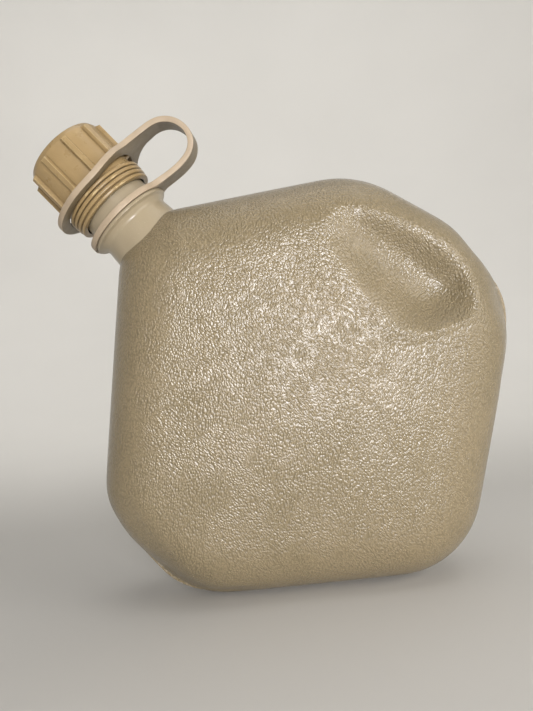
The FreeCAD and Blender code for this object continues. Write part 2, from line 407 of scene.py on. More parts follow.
def cap_material():
    """Tan-brown semi-gloss plastic with painted shade in its hollows, corners and gaps, and worn paler
    edges.
    """
    m = Nodes("cap_tan_plastic")
    cloud = m.noise(38.0, 4.0, 0.6)
    colour = m.tones(cloud, 0.32, 0.7, rgb(152, 128, 88), rgb(168, 143, 101))
    wear = m.pointiness(0.52, 0.59)
    colour = m.mix(m.math("MULTIPLY", wear, 0.75), colour, rgb(204, 182, 136))
    # Painted shade: darker brown in the hollows, at the feet of the ribs and in the bead grooves.
    hollow_shade = m.span(m.pointiness(0.40, 0.49), 0.0, 1.0, 0.55, 0.0)
    colour = m.mix(hollow_shade, colour, rgb(86, 66, 36))
    # Painted shade in the cap's corners and gaps.
    colour = m.painted_crevice_shade(colour, 0.0022, rgb(62, 50, 32), 0.75)
    rough = m.span(m.noise(210.0, 4.0, 0.6), 0.35, 0.7, 0.26, 0.42)
    ripple = m.bump(m.noise(120.0, 2.0), 0.15, 0.0005)
    normal = m.bump(m.noise(3000.0, 2.0), 0.10, 0.0001, ripple)
    return m.finish(colour, rough, normal, 0.5, 0.1, 0.2)


SHADED_FACE = "painted_shade_face"       # 1 on the strap's broad faces, which get painted shade, and 0 along its cut edges


def strap_material():
    """Soft tan rubbery plastic, paler and pinker along its edges, with painted shade making its broad
    faces grey-brown and its gaps darker.
    """
    m = Nodes("strap_soft_plastic")
    cloud = m.noise(60.0, 4.0, 0.6)
    colour = m.tones(cloud, 0.3, 0.7, rgb(168, 150, 126), rgb(184, 165, 140))
    # Painted shade: the broad faces take darker grey-brown copies of the strap's colour. The cut edges and
    # the pale lips keep the paler, pinker colour, as if lit.
    broad = m.node("ShaderNodeAttribute", attribute_name=SHADED_FACE).outputs["Fac"]
    colour = m.mix(broad, colour, m.mix(cloud, rgb(118, 105, 82), rgb(136, 122, 98)))
    # Painted shade in the strap's gaps and corners.
    colour = m.painted_crevice_shade(colour, 0.006, rgb(84, 74, 58), 0.7)
    rough = m.span(m.noise(260.0, 3.0, 0.6), 0.3, 0.7, 0.36, 0.52)
    normal = m.bump(m.noise(1500.0, 3.0, 0.6), 0.22, 0.00015)
    return m.finish(colour, rough, normal, 0.45)


def gasket_material():
    """Matt dark rubber with a faint cloth-moulded speckle."""
    m = Nodes("gasket_rubber")
    cloud = m.noise(300.0, 4.0, 0.6)
    colour = m.mix(cloud, rgb(34, 33, 31), rgb(58, 56, 52))
    rough = m.span(m.noise(500.0, 3.0), 0.3, 0.7, 0.6, 0.8)
    normal = m.bump(m.noise(1800.0, 3.0), 0.25, 0.0002)
    return m.finish(colour, rough, normal, 0.35)


def floor_material():
    """Plain pale studio paper."""
    m = Nodes("pale_studio_paper")
    colour = m.mix(m.noise(3.0, 2.0), rgb(206, 204, 199), rgb(214, 212, 207))
    normal = m.bump(m.noise(900.0, 2.0), 0.05, 0.0002)
    return m.finish(colour, 0.85, normal, 0.2)


# ---- body

STATIONS = 360             # round the side outline
ROLL_RINGS = 26            # over the rolled edge
WALL_RINGS = 40            # over the broad wall
HALF_DEPTH = CAD_BOX[1].y / MM
WALL = 1.8
ROLL = 30.0                # width of the rolled edge seen from the front
ROLL_SPARE = 4.0           # the close rings of points go on this far past the rolled edge
ROLL_POWER = 2.3           # 2 is a round roll, more is squarer
CROWN = 2.6                # how far the middle of a broad wall stands above its rim
CROWN_REACH = 42.0
HOLE_R = 18.0              # opening in the body, hidden inside the neck's wall
# Where the roll is wider: beside the neck on both halves, and at the front's upper right corner.
NECK_ROLL = 9.0
NECK_ROLL_REACH = 42.0
CORNER_ROLL = 6.0
CORNER_ROLL_REACH = 30.0
CORNER_PLACE = (108.0, 140.0)
# Where the parting outline is drawn in, or stands out: (x, z, inward, reach).
OUTLINE_PINCHES = (
    (-97.0, 37.0, 1.9, 15.0), (-70.0, 10.0, -1.3, 14.0),
    (97.0, 158.0, 2.8, 15.0), (111.0, 128.0, -1.2, 14.0),
)
# Where the front half's rolled edge is pressed flatter beside the parting line: (x, z, reach).
FLAT_EDGES = ((108.0, 130.0, 17.0), (-70.0, 8.0, 20.0))
FLATTER = 0.85             # taken from the roll's power there
# Slow waves of the thin wall: (height, length, noise place on the front, on the back).
WALL_WAVES = ((0.13, 34.0, 3.0, 11.0), (0.05, 13.0, 7.0, 17.0))
# Distances from the outline over which the waves and the dent come in.
WAVES_FADE = (6.0, 34.0)
DENT_FADE = (2.0, 16.0)
BACK_HOLLOW = 1.6
BACK_HOLLOW_PLACE = (20.0, 95.0)
BACK_HOLLOW_REACH = 46.0


def outward_of(ring):
    """Outward directions round a closed ring of (x, z) points."""
    tangent = np.roll(ring, -1, axis=0) - np.roll(ring, 1, axis=0)
    tangent /= np.linalg.norm(tangent, axis=1, keepdims=True)
    return np.stack((tangent[:, 1], -tangent[:, 0]), axis=1)


def side_outline():
    """The body's side outline as evenly spaced (x, z) points, taken from the CAD body."""
    points = node_points("body_shell")[:, (0, 2)]
    hull = geometry.convex_hull_2d([tuple(p) for p in points])
    ring = points[hull]
    steps = np.linalg.norm(np.roll(ring, -1, axis=0) - ring, axis=1)
    place = np.concatenate(([0.0], np.cumsum(steps)))
    closed = np.vstack((ring, ring[:1]))
    wanted = np.linspace(0.0, place[-1], STATIONS, endpoint=False)
    even = np.stack([np.interp(wanted, place, closed[:, k]) for k in (0, 1)], axis=1)
    for _ in range(3):
        even = 0.25 * np.roll(even, 1, axis=0) + 0.5 * even + 0.25 * np.roll(even, -1, axis=0)
    moved = np.zeros(STATIONS)
    for x, z, depth, reach in OUTLINE_PINCHES:
        moved = moved + depth * bump(np.hypot(even[:, 0] - x, even[:, 1] - z), 0.0, reach)
    even = even - outward_of(even) * moved[:, None]
    even[:, 1] = np.maximum(even[:, 1], 0.0)
    return even


def outline_distance(points, outline):
    """Distance of each (x, z) point from the outline."""
    best = np.full(len(points), np.inf)
    for start, end in zip(outline, np.roll(outline, -1, axis=0)):
        along = end - start
        t = np.clip(((points - start) @ along) / (along ** 2).sum(), 0.0, 1.0)
        gap = points - (start + t[:, None] * along)
        best = np.minimum(best, (gap ** 2).sum(axis=1))
    return np.sqrt(best)


DENT_CENTRE = (70.0, 144.0)
DENT_DIRECTION = (0.753, -0.659)     # its valley line, down to the right
DENT_DEPTH = 11.4
DENT_SHIFT = 5.0                     # the valley line passes this far below the centre
DENT_END_WALL = 2.0                  # where the end wall starts along the line, and where it ends
DENT_END = 25.5
DENT_RIM = 0.55                      # the wall stands out this much round the dent's deep end
# At places along the valley line: the share of the full depth, and the reach of the upper and
# lower walls from the line.
DENT_PLACES = (-56.0, -45.0, -31.0, -15.0, -2.0, 9.0, 17.5, DENT_END)
DENT_FALL = (0.0, 0.30, 0.66, 0.92, 1.0, 1.0, 1.0, 1.0)
DENT_UPPER = (7.0, 10.5, 15.5, 20.0, 20.0, 18.0, 13.0, 1.0)
DENT_LOWER = (15.0, 18.0, 23.0, 26.0, 27.0, 23.5, 16.0, 1.0)


def dent_depth(x, z):
    """The thumb-shaped dent: a straight valley with a steep upper wall and an easy lower one,
    deepening to the lower right, where it ends in a short steep wall."""
    dx = x - DENT_CENTRE[0]
    dz = z - DENT_CENTRE[1]
    u = dx * DENT_DIRECTION[0] + dz * DENT_DIRECTION[1]
    v = dx * -DENT_DIRECTION[1] + dz * DENT_DIRECTION[0] + DENT_SHIFT
    upper = np.interp(u, DENT_PLACES, DENT_UPPER)
    lower = np.interp(u, DENT_PLACES, DENT_LOWER)
    side = np.where(v > 0, v / upper, -v / lower)
    end = np.clip((u - DENT_END_WALL) / (DENT_END - DENT_END_WALL), 0.0, None)
    reach = np.sqrt(side ** 2 + end ** 2)
    wall = 1.0 - smoothstep(0.04, 0.98, reach ** 1.15)
    length = np.interp(u, DENT_PLACES, DENT_FALL)
    rim = DENT_RIM * bump(reach, 1.06, 0.14) * smoothstep(-40.0, -5.0, u)
    return DENT_DEPTH * length * wall - rim


def parting_creases(x, z, d):
    """Pinched grooves that leave the parting line standing as a lip: at the lower left corner,
    with a hollow above it, down the right side, and on the top."""
    low_left = smoothstep(-92.0, -78.0, x) * (1 - smoothstep(-42.0, -22.0, x))
    low_left = low_left * (1 - smoothstep(16.0, 30.0, z))
    groove = 2.4 * bump(d, 5.0, 2.4) * low_left
    hollow = 1.5 * bump(d, 13.0, 5.0) * bump(x, -84.0, 13.0) * bump(z, 34.0, 22.0)
    right = 1.6 * bump(d, 3.2, 1.7) * smoothstep(95.0, 101.0, x) * smoothstep(78.0, 96.0, z)
    on_top = smoothstep(30.0, 42.0, x) * (1 - smoothstep(66.0, 80.0, x)) * smoothstep(150.0, 165.0, z)
    top = 1.3 * bump(d, 2.6, 1.4) * on_top
    return groove + hollow + right + top


def wall_height(x, z, d, front):
    """How far a broad wall stands from the parting plane, before dents."""
    from_neck = np.hypot(x - NECK_FOOT[0], z - NECK_FOOT[2])
    roll = ROLL + NECK_ROLL * bump(from_neck, 0.0, NECK_ROLL_REACH)
    if front:
        from_corner = np.hypot(x - CORNER_PLACE[0], z - CORNER_PLACE[1])
        roll = roll + CORNER_ROLL * bump(from_corner, 0.0, CORNER_ROLL_REACH)
    inward = np.clip(d / roll, 0.0, 1.0)
    power = np.full(len(x), ROLL_POWER)
    if front:
        for flat_x, flat_z, reach in FLAT_EDGES:
            power = power - FLATTER * bump(np.hypot(x - flat_x, z - flat_z), 0.0, reach)
    edge = (1.0 - (1.0 - inward) ** power) ** (1.0 / power)
    crown = CROWN * (1.0 - bump(d, 0.0, CROWN_REACH))
    return (HALF_DEPTH - CROWN) * edge + crown


def half_grid(outline):
    """Rings of (x, z) points from the outline to the middle, then the middle point."""
    middle = outline.mean(axis=0)
    heading = middle - outline
    length = np.linalg.norm(heading, axis=1, keepdims=True)
    rows = []
    for i in range(ROLL_RINGS):
        reach = (ROLL + ROLL_SPARE) * (1 - math.cos(0.5 * math.pi * i / ROLL_RINGS))
        rows.append(outline + heading / length * reach)
    start = outline + heading / length * (ROLL + ROLL_SPARE)
    for i in range(WALL_RINGS):
        rows.append(start + (middle - start) * (i / WALL_RINGS))
    points = np.vstack(rows + [middle[None, :]])
    count = len(outline)
    faces = lathe_faces(len(rows), count, closed_profile=False)
    last = (len(rows) - 1) * count
    for j in range(count):
        faces.append((last + j, last + (j + 1) % count, last + count))
    return points, faces


def surface_normals(points, faces):
    """Vertex normals of an open surface."""
    mesh = bpy.data.meshes.new("normals")
    mesh.from_pydata([tuple(p) for p in points], [], faces)
    mesh.update()
    flat = np.zeros(len(mesh.vertices) * 3)
    mesh.vertex_normals.foreach_get("vector", flat)
    bpy.data.meshes.remove(mesh)
    return flat.reshape(-1, 3)


def thicken(points, faces, thickness):
    """A closed shell: the surface, the same surface moved in, and strips along its open edges."""
    normals = surface_normals(points, faces)
    normals[:, 1] = np.where(np.abs(points[:, 1]) < 0.01, 0.0, normals[:, 1])
    normals /= np.linalg.norm(normals, axis=1, keepdims=True)
    count = len(points)
    inner = points - normals * thickness
    skin = list(faces) + [tuple(count + i for i in reversed(face)) for face in faces]
    sides = dict.fromkeys((face[i], face[(i + 1) % len(face)]) for face in faces for i in range(len(face)))
    skin += [(b, a, count + a, count + b) for a, b in sides if (b, a) not in sides]
    return np.vstack((points, inner)), skin


def drop_unused(faces):
    """Which points the faces use, and the faces with those points numbered from 0."""
    used = sorted(set(i for face in faces for i in face))
    index = {old: new for new, old in enumerate(used)}
    return np.array(used), [tuple(index[i] for i in face) for face in faces]


def make_body_half(name, front, material):
    """One half of the body, from the parting plane over its rolled edge to its broad wall."""
    outline = side_outline()
    flat, faces = half_grid(outline)
    x = flat[:, 0]
    z = flat[:, 1]
    d = outline_distance(flat, outline)
    d[:len(outline)] = 0.0
    height = wall_height(x, z, d, front)
    side = -1.0 if front else 1.0
    plain = np.stack((x, side * height, z), axis=1)
    wave = 0.0
    for wave_height, wave_length, front_shift, back_shift in WALL_WAVES:
        wave = wave + wave_height * noise_field(plain, wave_length, front_shift if front else back_shift)
    dents = -wave * smoothstep(*WAVES_FADE, d)
    if front:
        dents = dents + dent_depth(x, z) * smoothstep(*DENT_FADE, d)
        dents = dents + parting_creases(x, z, d)
    else:
        from_hollow = np.hypot(x - BACK_HOLLOW_PLACE[0], z - BACK_HOLLOW_PLACE[1])
        dents = dents + BACK_HOLLOW * bump(from_hollow, 0.0, BACK_HOLLOW_REACH)
    height_now = np.maximum(height - dents, 0.0)
    height_now[:len(outline)] = 0.0
    shaped = np.stack((x, side * height_now, z), axis=1)
    if not front:
        faces = [tuple(reversed(face)) for face in faces]
    from_foot = shaped - NECK_FOOT
    along = from_foot @ NECK_DIR
    away = np.linalg.norm(from_foot - np.outer(along, NECK_DIR), axis=1)
    inside_neck = (away < HOLE_R) & (along > -30.0)
    faces = [face for face in faces if not all(inside_neck[i] for i in face)]
    used, faces = drop_unused(faces)
    points, skin = thicken(shaped[used], faces, WALL)
    reference = np.vstack((plain[used], plain[used]))
    obj = make_piece(name, reference, skin, material)
    wall = "front_wall" if front else "back_wall"
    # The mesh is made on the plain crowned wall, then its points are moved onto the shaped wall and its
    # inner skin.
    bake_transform(obj)
    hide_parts(wall, "body_shell")
    set_points(obj, points)


# The fin's section: (out from the parting outline, across the parting plane). Points further out
# than FIN_FOOT are on the fin itself, and the rest is the low bank that it stands on.
FIN_SECTION = (
    (-0.6, -1.3), (0.0, -0.9), (0.12, -0.35), (1.0, -0.22),
    (1.0, 0.22), (0.12, 0.35), (0.0, 0.9), (-0.6, 1.3),
)
FIN_FOOT = 0.5
FIN_WORN = 0.12            # what is left of the fin where the body stands on it


def fin_height(outline):
    """How far the fin stands out: unevenly, and more at the lower left corner and on the right."""
    x = outline[:, 0]
    z = outline[:, 1]
    spots = np.stack((x, np.zeros(len(x)), z), axis=1)
    height = 0.35 + 0.55 * (0.5 + 0.5 * noise_field(spots, 22.0, 5.0))
    low_left = smoothstep(-98.0, -84.0, x) * (1 - smoothstep(-44.0, -28.0, x))
    height = height + 1.3 * low_left * (1 - smoothstep(24.0, 40.0, z))
    right_side = smoothstep(96.0, 102.0, x) * smoothstep(80.0, 100.0, z)
    height = height + 0.7 * right_side * (1 - smoothstep(136.0, 146.0, z))
    return np.where(z < 1.0, FIN_WORN, height)


def make_parting_ridge(material):
    """The thin moulding fin left where the two halves of the mould met."""
    outline = side_outline()
    count = len(outline)
    outward = outward_of(outline)
    height = fin_height(outline)
    rows = []
    for out, y in FIN_SECTION:
        reach = np.where(out > FIN_FOOT, out * height, out)
        flat = outline + outward * reach[:, None]
        rows.append(np.stack((flat[:, 0], np.full(count, y), flat[:, 1]), axis=1))
    points = np.vstack(rows)
    points[:, 2] = np.maximum(points[:, 2], -FLOOR_GAP / 2)
    keep = np.hypot(outline[:, 0] - NECK_FOOT[0], outline[:, 1] - NECK_FOOT[2]) > HOLE_R + 1.2
    faces = [face for face in lathe_faces(len(FIN_SECTION), count) if all(keep[i % count] for i in face)]
    for j in range(count):
        after = (j + 1) % count
        if keep[j] != keep[after]:
            column = j if keep[j] else after
            faces.append(tuple(i * count + column for i in range(len(FIN_SECTION))))
    used, faces = drop_unused(faces)
    obj = make_piece("body_parting_ridge", points[used], faces, material)
    face_outward(obj)
    mark_sharp(obj, 50.0)
    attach(obj, "body")


# ---- neck

NECK_COLUMNS = 160
GASKET_COLUMNS = 96
POLE_R = 0.4               # a disc's profile stops this far from the axis
BORE_R = 14.5
COLLAR_R = 18.0
ROOT_R = 17.0
CREST_R = 18.2
PITCH = 4.5
THREAD_BASE = 2.4          # width of the thread at its root
THREAD_CREST = 1.0
NECK_THREAD_FOOT = 33.0
NECK_THREAD_TURNS = 2.75
FLANGE_TOP = 15.6
FLANGE_R = 22.0
COLLAR_TOP = 28.0
SEAM_HEIGHT = 0.3          # the mould's line up both sides of the neck, below the flange
SEAM_HALF = 0.55


def thread_height(angle, along, foot, turns):
    """Height of a right-hand thread, 0 to 1, on a cylinder at an angle (radians) and a place."""
    wound = (along - foot) / PITCH - angle / (2 * math.pi)
    turn = np.round(wound)
    off = np.abs(wound - turn) * PITCH
    travelled = turn + angle / (2 * math.pi)
    profile = 1.0 - smoothstep(THREAD_CREST / 2, THREAD_BASE / 2, off)
    run_in = smoothstep(-0.02, 0.12, travelled)
    run_out = 1.0 - smoothstep(turns - 0.12, turns + 0.02, travelled)
    return profile * (run_in * run_out)


def turned(profile, angles, shape=None):
    """Points and faces of a closed profile of (radius, place) turned about the Z axis, with columns
    at the angles (radians). shape(radius, place) may give a radius for each column."""
    rows = []
    for radius, along in profile:
        radii = shape(radius, along) if shape else radius
        place = np.full(len(angles), along)
        rows.append(np.stack((radii * np.cos(angles), radii * np.sin(angles), place), axis=1))
    return np.vstack(rows), lathe_faces(len(profile), len(angles))


def even_angles(columns):
    return np.arange(columns) * 2 * math.pi / columns


def finish_turned(obj, sharp, node, body):
    """Crisp edges, the CAD node it stands for and the body it rides on."""
    face_outward(obj)
    mark_sharp(obj, sharp)
    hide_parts(node)
    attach(obj, body)


def make_neck(material):
    """A tube that spreads a little to the body, a flange, a collar, a thread and the mouth."""
    low, top = neck_span("neck_spout")
    corners = [
        (BORE_R, low, 0.4),
        (19.0, low, 0.4),
        (19.6, -2.0, 6.0),
        (18.9, 5.0, 12.0),
        (18.3, 11.2, 2.5),
        (20.2, 13.4, 1.6),
        (FLANGE_R, 14.0, 0.3),
        (FLANGE_R, FLANGE_TOP, 0.4),
        (COLLAR_R, FLANGE_TOP, 0.3),
        (COLLAR_R, 26.0, 0.8),
        (ROOT_R, COLLAR_TOP, 0.8),
        (ROOT_R, top, 1.1),
        (BORE_R, top, 0.7),
    ]
    profile = split_long(round_profile(corners), 0.45)
    angles = even_angles(NECK_COLUMNS)

    def shape(radius, along):
        if radius > ROOT_R - 0.1 and COLLAR_TOP < along < top - 1.5:
            ridge = thread_height(angles, along, NECK_THREAD_FOOT, NECK_THREAD_TURNS)
            return radius + (CREST_R - ROOT_R) * ridge
        if radius > ROOT_R + 0.5 and along < FLANGE_TOP - 0.2:
            return radius + SEAM_HEIGHT * bump(np.sin(angles) * radius, 0.0, SEAM_HALF)
        return radius

    points, faces = turned(profile, angles, shape)
    obj = make_piece("neck", on_neck(points), faces, material)
    finish_turned(obj, 60.0, "neck_spout", "body")


# ---- cap

RIB_COUNT = 10
RIB_PHASE = -77.0
RIB_R = 22.6
CAP_WALL_R = 20.5
CAP_BORE_R = 18.7
CAP_THREAD_CREST_R = 17.45
CAP_BEADS = ((28.2, 21.9), (30.5, 22.1), (32.8, 22.2))   # (place on the axis, crest radius)
BEAD_VALLEY_R = 20.95
GROOVE_R = 20.2
CAP_SHOULDER = 34.4
GRIP_FOOT = 38.1
CROWN_DISC_R = 15.8        # the crown's sunk disc
CROWN_SUNK = 0.4
CROWN_THICK = 3.0
CAP_THREAD_TURNS = 1.25


def rib_angles():
    """Columns round the cap: close together on the ribs' flanks, wide apart between them."""
    half = (0.4, 0.8, 1.05, 1.25, 1.45, 1.65, 2.0, 2.6)
    across = [-a for a in reversed(half)] + [0.0] + list(half)
    angles = []
    pitch = 2 * math.pi / RIB_COUNT
    for i in range(RIB_COUNT):
        middle = math.radians(RIB_PHASE) + i * pitch
        near = [middle + a / CAP_WALL_R for a in across]
        gap_end = middle + pitch + across[0] / CAP_WALL_R
        angles += near + list(np.linspace(near[-1], gap_end, 8)[1:-1])
    return np.array(angles)


def rib_height(angles):
    """0 between the ribs and 1 along their crests."""
    pitch = 2 * math.pi / RIB_COUNT
    off = (angles - math.radians(RIB_PHASE) + pitch / 2) % pitch - pitch / 2
    across = np.abs(off) * CAP_WALL_R
    return 1.0 - smoothstep(1.1, 1.7, across)


def make_cap(material):
    """The screw cap: crown, ribbed grip, groove for the strap's ring, beaded skirt, thread."""
    lip, top = neck_span("cap_shell")
    corners = [(CAP_BORE_R, lip, 0.3), (21.4, lip, 0.5), (21.6, lip + 1.3, 0.5), (20.6, lip + 1.9, 0.3)]
    for place, crest_r in CAP_BEADS:
        corners += [
            (BEAD_VALLEY_R, place - 1.08, 0.3),
            (crest_r, place - 0.75, 0.7),
            (crest_r, place + 0.75, 0.7),
            (BEAD_VALLEY_R, place + 1.08, 0.3),
        ]
    corners += [
        (GROOVE_R, CAP_SHOULDER, 0.2),
        (GROOVE_R, GRIP_FOOT, 0.1),
        (CAP_WALL_R, GRIP_FOOT, 0.0),
        (CAP_WALL_R, top - 2.9, 1.5),
        (19.4, top - 0.5, 1.3),
        (17.6, top, 0.6),
        (16.4, top, 0.4),
        (CROWN_DISC_R, top - CROWN_SUNK, 0.4),
        (POLE_R, top - CROWN_SUNK, 0.0),
        (POLE_R, top - CROWN_THICK, 0.0),
        (CAP_BORE_R, top - CROWN_THICK, 0.5),
    ]
    profile = split_long(round_profile(corners), 0.9)
    angles = rib_angles()
    crests = rib_height(angles)

    def shape(radius, along):
        if radius > CAP_BORE_R + 0.3 and along > GRIP_FOOT - 0.01:
            fade = 1.0 - smoothstep(top - 4.1, top - 3.2, along)
            return radius + crests * (RIB_R - CAP_WALL_R) * fade
        if abs(radius - CAP_BORE_R) < 0.05 and lip + 2 < along < top - 6:
            foot = NECK_THREAD_FOOT + 0.5 * PITCH
            ridge = thread_height(angles % (2 * math.pi), along, foot, CAP_THREAD_TURNS)
            return radius - (CAP_BORE_R - CAP_THREAD_CREST_R) * ridge
        return radius

    points, faces = turned(profile, angles, shape)
    obj = make_piece("cap", on_neck(points), faces, material)
    finish_turned(obj, 48.0, "cap_shell", "cap")


def make_gasket(material):
    """The disc that seals the mouth, with a pressed ring where the rim bites."""
    low, top = neck_span("cap_gasket")
    radius = outer_radius("cap_gasket")
    corners = [
        (POLE_R, low + 0.25, 0.0),
        (13.8, low + 0.25, 0.5),
        (14.4, low, 0.3),
        (radius, low, 0.5),
        (radius, top, 0.5),
        (POLE_R, top, 0.0),
    ]
    points, faces = turned(split_long(round_profile(corners), 1.5), even_angles(GASKET_COLUMNS))
    obj = make_piece("gasket", on_neck(points), faces, material)
    finish_turned(obj, 50.0, "cap_gasket", "gasket")


# ---- strap

STRAP_EDGE_ROUND = 0.3
BAND_HALF = 7.5
BAND_STEP = 0.8            # between the band's rows of points
BAND_LIP = 0.8             # pale line along the loop's outer face, beside each edge, left out of the painted shade
LEG_START = 23.0           # from the neck ring's centre to where the strap starts to stretch
CAP_LEG_START = 27.0       # the same for the cap ring
NECK_RING_BORE = 18.4
NECK_RING_R = 23.2
NECK_FLARE = 8.0
CAP_RING_BORE = 22.4
CAP_RING_R = 27.7
CAP_FLARE = 20.0
CAP_RING_LOW = 35.0        # the cap ring's middle, in the groove
CAP_RING_LIFT = 5.2        # how far the loop pulls it up on the loop's side
RING_SWELL = 0.06          # the rings are this much thicker than the loop
RING_ROWS = 5
# The loop's middle line, side on: (distance from the neck's axis, place along it).
LOOP_LINE = (
    (24.0, 17.1), (31.0, 15.9), (38.0, 15.4), (44.5, 16.5), (49.2, 20.2), (51.0, 26.0), (49.4, 32.6),
    (44.6, 37.6), (38.0, 39.8), (31.0, 40.3), (26.0, 40.0),
)


def smooth_line(points, steps):
    """A smooth curve through points (Catmull-Rom)."""
    line = [np.array(p, float) for p in points]
    line = [2 * line[0] - line[1]] + line + [2 * line[-1] - line[-2]]
    out = []
    for i in range(1, len(line) - 2):
        a, b, c, d = line[i - 1:i + 3]
        for k in range(steps):
            t = k / steps
            out.append(0.5 * (2 * b + (c - a) * t + (2 * a - 5 * b + 4 * c - d) * t ** 2
                              + (3 * b - a - 3 * c + d) * t ** 3))
    out.append(line[-2])
    return np.array(out)


def strap_path():
    """The strap's middle line, side on, from one ring's centre round the loop to the other's.
    Returns its points and their places, the length between the centres, the outermost place and
    the strap's thickness."""
    low, top = neck_span("strap_neck_ring")
    leg = (low + top) / 2
    out = np.arange(-34.0, 24.0, 2.0)
    neck_part = np.stack((out, np.full(len(out), leg)), axis=1)
    back = np.arange(24.0, -38.0, -1.0)
    lifted = CAP_RING_LOW + CAP_RING_LIFT * smoothstep(2.0, 30.0, back)
    cap_part = np.stack((back, lifted), axis=1)
    loop = smooth_line(LOOP_LINE, 10)
    points = np.vstack((neck_part, loop, cap_part))
    for _ in range(6):
        points[1:-1] = 0.25 * points[:-2] + 0.5 * points[1:-1] + 0.25 * points[2:]
    steps = np.linalg.norm(np.diff(points, axis=0), axis=1)
    place = np.concatenate(([0.0], np.cumsum(steps)))
    outermost = int(np.argmax(points[:, 0]))
    start = float(np.interp(0.0, points[:outermost, 0], place[:outermost]))
    place = place - start
    length = float(np.interp(0.0, points[:outermost:-1, 0], place[:outermost:-1]))
    return points, place, length, float(place[outermost]), top - low


def flare_end(outer, flare):
    """How far from a ring's centre its flare runs out into the band."""
    return math.sqrt((outer + flare) ** 2 - (BAND_HALF + flare) ** 2)


def ring_reach(angle, outer, flare):
    """Reach of a ring piece's edge from its centre: the ring, the flare, or the cut across."""
    across = abs(angle)
    centre_u = flare_end(outer, flare)
    centre_v = BAND_HALF + flare
    if across < math.atan2(BAND_HALF, centre_u) + 1e-9:
        return centre_u / math.cos(across)
    if across < math.atan2(centre_v, centre_u):
        k = centre_u * math.cos(across) + centre_v * math.sin(across)
        return k - math.sqrt(max(0.0, k * k - (centre_u ** 2 + centre_v ** 2 - flare ** 2)))
    return outer


def ring_sheet(bore, outer, flare, centre, sign, columns_across):
    """Flat mesh of one ring with its flare, in the strap's developed plane."""
    centre_u = flare_end(outer, flare)
    tangent_angle = math.atan2(BAND_HALF + flare, centre_u)
    cut = [math.atan2(v, centre_u) for v in columns_across]
    flare_angles = list(np.linspace(cut[-1], tangent_angle, 10)[1:])
    round_angles = list(np.linspace(tangent_angle, 2 * math.pi - tangent_angle, 64)[1:])
    back_flare = [2 * math.pi - a for a in reversed(flare_angles[:-1])]
    angles = cut + flare_angles + round_angles + back_flare
    points = []
    for i in range(RING_ROWS):
        for angle in angles:
            signed = (angle + math.pi) % (2 * math.pi) - math.pi
            reach = ring_reach(signed, outer, flare)
            radius = bore + (reach - bore) * i / (RING_ROWS - 1)
            points.append((centre + sign * radius * math.cos(angle), radius * math.sin(angle)))
    return points, lathe_faces(RING_ROWS, len(angles), closed_profile=False)


def band_sheet(start, end, columns_across):
    """Flat mesh of the band between the two rings."""
    rows = int((end - start) / BAND_STEP)
    points = [(start + (end - start) * i / rows, v) for i in range(rows + 1) for v in columns_across]
    faces = []
    wide = len(columns_across)
    for i in range(rows):
        for a in range(i * wide, (i + 1) * wide - 1):
            faces.append((a, a + 1, a + wide + 1, a + wide))
    return points, faces


def strap_sheet(length):
    """The strap's flat plan: ring, band, ring, welded into one sheet."""
    inner = BAND_HALF - BAND_LIP
    columns_across = [-BAND_HALF] + list(np.linspace(-inner, inner, 10)) + [BAND_HALF]
    neck_cut = flare_end(NECK_RING_R, NECK_FLARE)
    cap_cut = flare_end(CAP_RING_R, CAP_FLARE)
    sheets = [
        ring_sheet(NECK_RING_BORE, NECK_RING_R, NECK_FLARE, 0.0, 1.0, columns_across),
        band_sheet(neck_cut, length - cap_cut, columns_across),
        ring_sheet(CAP_RING_BORE, CAP_RING_R, CAP_FLARE, length, -1.0, columns_across),
    ]
    shape = bmesh.new()
    for points, faces in sheets:
        made = [shape.verts.new((u, v, 0.0)) for u, v in points]
        for face in faces:
            shape.faces.new([made[i] for i in face])
    bmesh.ops.remove_doubles(shape, verts=shape.verts, dist=0.02)
    bmesh.ops.recalc_face_normals(shape, faces=shape.faces)
    mesh = bpy.data.meshes.new("strap_sheet")
    shape.to_mesh(mesh)
    shape.free()
    return mesh


def thick_rounded(mesh, thickness):
    """The sheet given its thickness and rounded edges, as a new mesh."""
    obj = shown("strap_sheet", mesh)
    solid = obj.modifiers.new("thickness", "SOLIDIFY")
    solid.thickness = thickness
    solid.offset = 0.0
    bevel = obj.modifiers.new("edges", "BEVEL")
    bevel.width = STRAP_EDGE_ROUND
    bevel.segments = 3
    bevel.limit_method = "ANGLE"
    bevel.angle_limit = math.radians(50.0)
    bpy.context.view_layer.update()
    result = bpy.data.meshes.new_from_object(obj.evaluated_get(bpy.context.evaluated_depsgraph_get()))
    bpy.data.objects.remove(obj)
    return result


def bend_strap(flat, path, place):
    """Bend the developed strap along its path. flat holds (along, across, through) points."""
    tangent = np.gradient(path, axis=0)
    tangent /= np.linalg.norm(tangent, axis=1, keepdims=True)
    out, up = (np.interp(flat[:, 0], place, path[:, k]) for k in (0, 1))
    dir_out, dir_up = (np.interp(flat[:, 0], place, tangent[:, k]) for k in (0, 1))
    size = np.hypot(dir_out, dir_up)
    dir_out /= size
    dir_up /= size
    x = out - dir_up * flat[:, 2]
    z = up + dir_out * flat[:, 2]
    return np.stack((x, flat[:, 1], z), axis=1)


# (piece, the bodies at its start and end, the CAD nodes it stands for)
STRAP_PIECES = (
    ("strap_lower", ("strap_base", "strap_middle"), ("strap_neck_ring", "strap_loop")),
    ("strap_upper", ("strap_middle", "strap_top"), ("strap_cap_ring",)),
)


